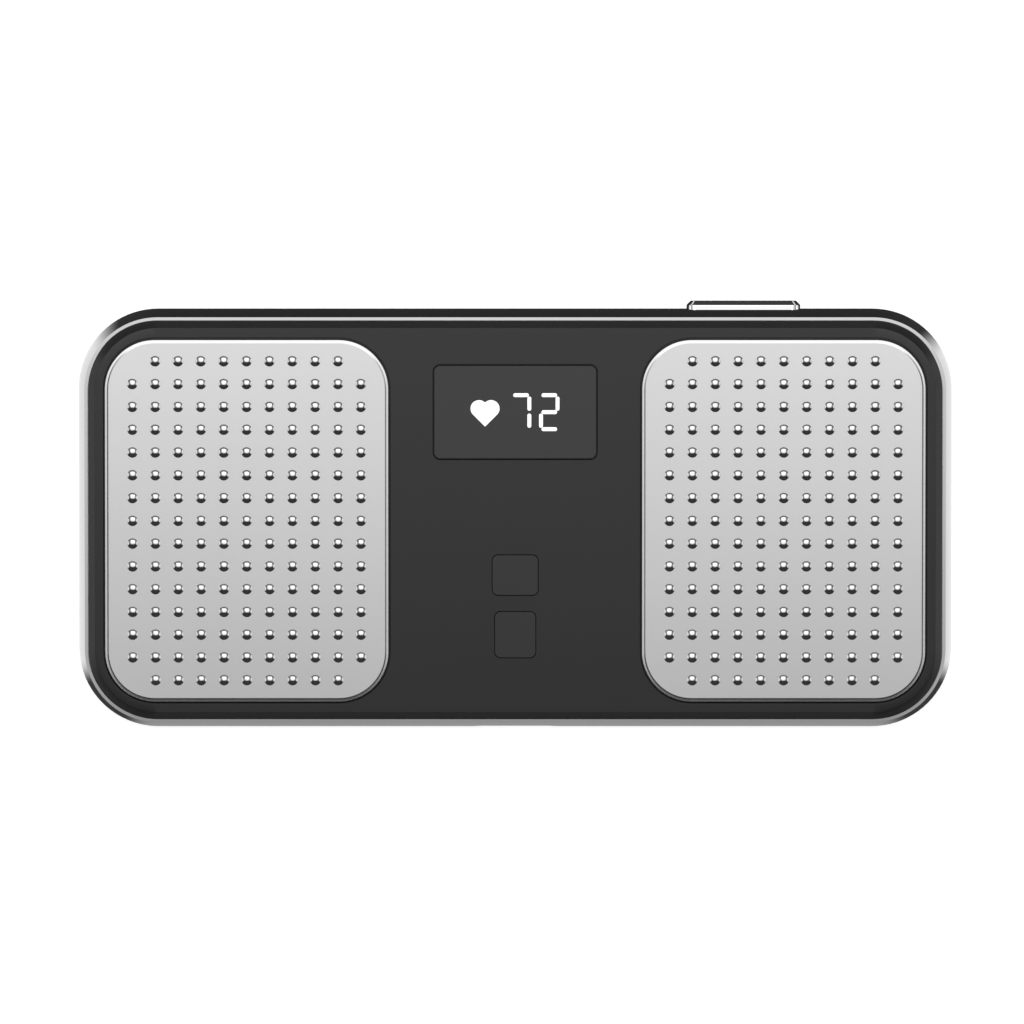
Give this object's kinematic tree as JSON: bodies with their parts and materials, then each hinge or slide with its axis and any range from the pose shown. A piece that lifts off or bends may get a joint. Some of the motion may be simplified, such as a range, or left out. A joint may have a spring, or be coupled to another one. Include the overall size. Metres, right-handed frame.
{
  "type": "handheld ecg recorder",
  "caption": "Flat pocket ECG recorder: two thumb pads with raised domes on a dark panel, a small display window, flush keys and a plated side button in a plated band.",
  "frame": {"origin": "middle of the flat back of the rear cover, which the recorder lies on", "axes": "+X to the right along the case, +Y to the long edge with the side button, +Z out of the front panel"},
  "size_m": [0.09, 0.044, 0.0093],
  "materials": {
    "plated_band": "satin bright plating over a moulded band",
    "panel_black": "fine matte moulding",
    "cover_black": "fine matte moulding",
    "key_black": "fine matte moulding",
    "pad_metal": "finely blasted and brushed",
    "seal_rubber": "matte",
    "contact_brass": "gold flash over spring brass",
    "window_glass": "dark tinted window",
    "tape": "foam tape",
    "display_black": "dark glass",
    "moulded_dark": "moulded",
    "moulded_pale": "moulded",
    "ribbon_film": "amber film",
    "spring_steel": "tinned sheet",
    "board_green": "solder resist",
    "chip_black": "moulded epoxy",
    "ceramic_parts": "ceramic with tinned ends",
    "battery_foil": "pouch foil",
    "lead_red": "wire insulation",
    "screw_steel": "machined"
  },
  "bodies": {
    "case": {"mid_frame": "plated_band", "front_panel": "panel_black", "rear_cover": "cover_black", "electrode_left": "pad_metal", "electrode_right": "pad_metal", "seal_left": "seal_rubber", "seal_right": "seal_rubber", "contact_left": "contact_brass", "contact_right": "contact_brass", "display_lens": "window_glass", "lens_tape": "tape", "display_module": "display_black", "display_carrier": "moulded_dark", "display_ribbon": "ribbon_film", "snap_dome_upper": "spring_steel", "snap_dome_lower": "spring_steel", "side_switch": "moulded_dark", "main_board": "board_green", "shield_can": "spring_steel", "amplifier_chip": "chip_black", "processor_chip": "chip_black", "memory_chip": "chip_black", "clock_crystal": "spring_steel", "filter_parts": "ceramic_parts", "antenna": "ceramic_parts", "sounder": "moulded_dark", "battery": "battery_foil", "battery_tape": "tape", "battery_leads": "lead_red", "battery_plug": "moulded_pale", "port_shell": "spring_steel", "port_tongue": "moulded_dark", "case_screws": "screw_steel", "board_screws": "screw_steel"},
    "key_upper_body": {"key_upper": "key_black"},
    "key_lower_body": {"key_lower": "key_black"},
    "side_button_body": {"side_button": "plated_band", "side_switch_tip": "moulded_pale"}
  },
  "joints": [
    {"name": "key_upper_press", "type": "slide", "parent": "case", "child": "key_upper_body", "axis": [0, 0, -1], "range_m": [0, 0.00025], "stiffness_N_per_m": 800, "springref_m": -0.001, "deforming": ["snap_dome_upper"]},
    {"name": "key_lower_press", "type": "slide", "parent": "case", "child": "key_lower_body", "axis": [0, 0, -1], "range_m": [0, 0.00025], "stiffness_N_per_m": 800, "springref_m": -0.001, "deforming": ["snap_dome_lower"]},
    {"name": "side_button_press", "type": "slide", "parent": "case", "child": "side_button_body", "axis": [0, -1, 0], "range_m": [0, 0.0003], "stiffness_N_per_m": 1000, "springref_m": -0.0015}
  ]
}
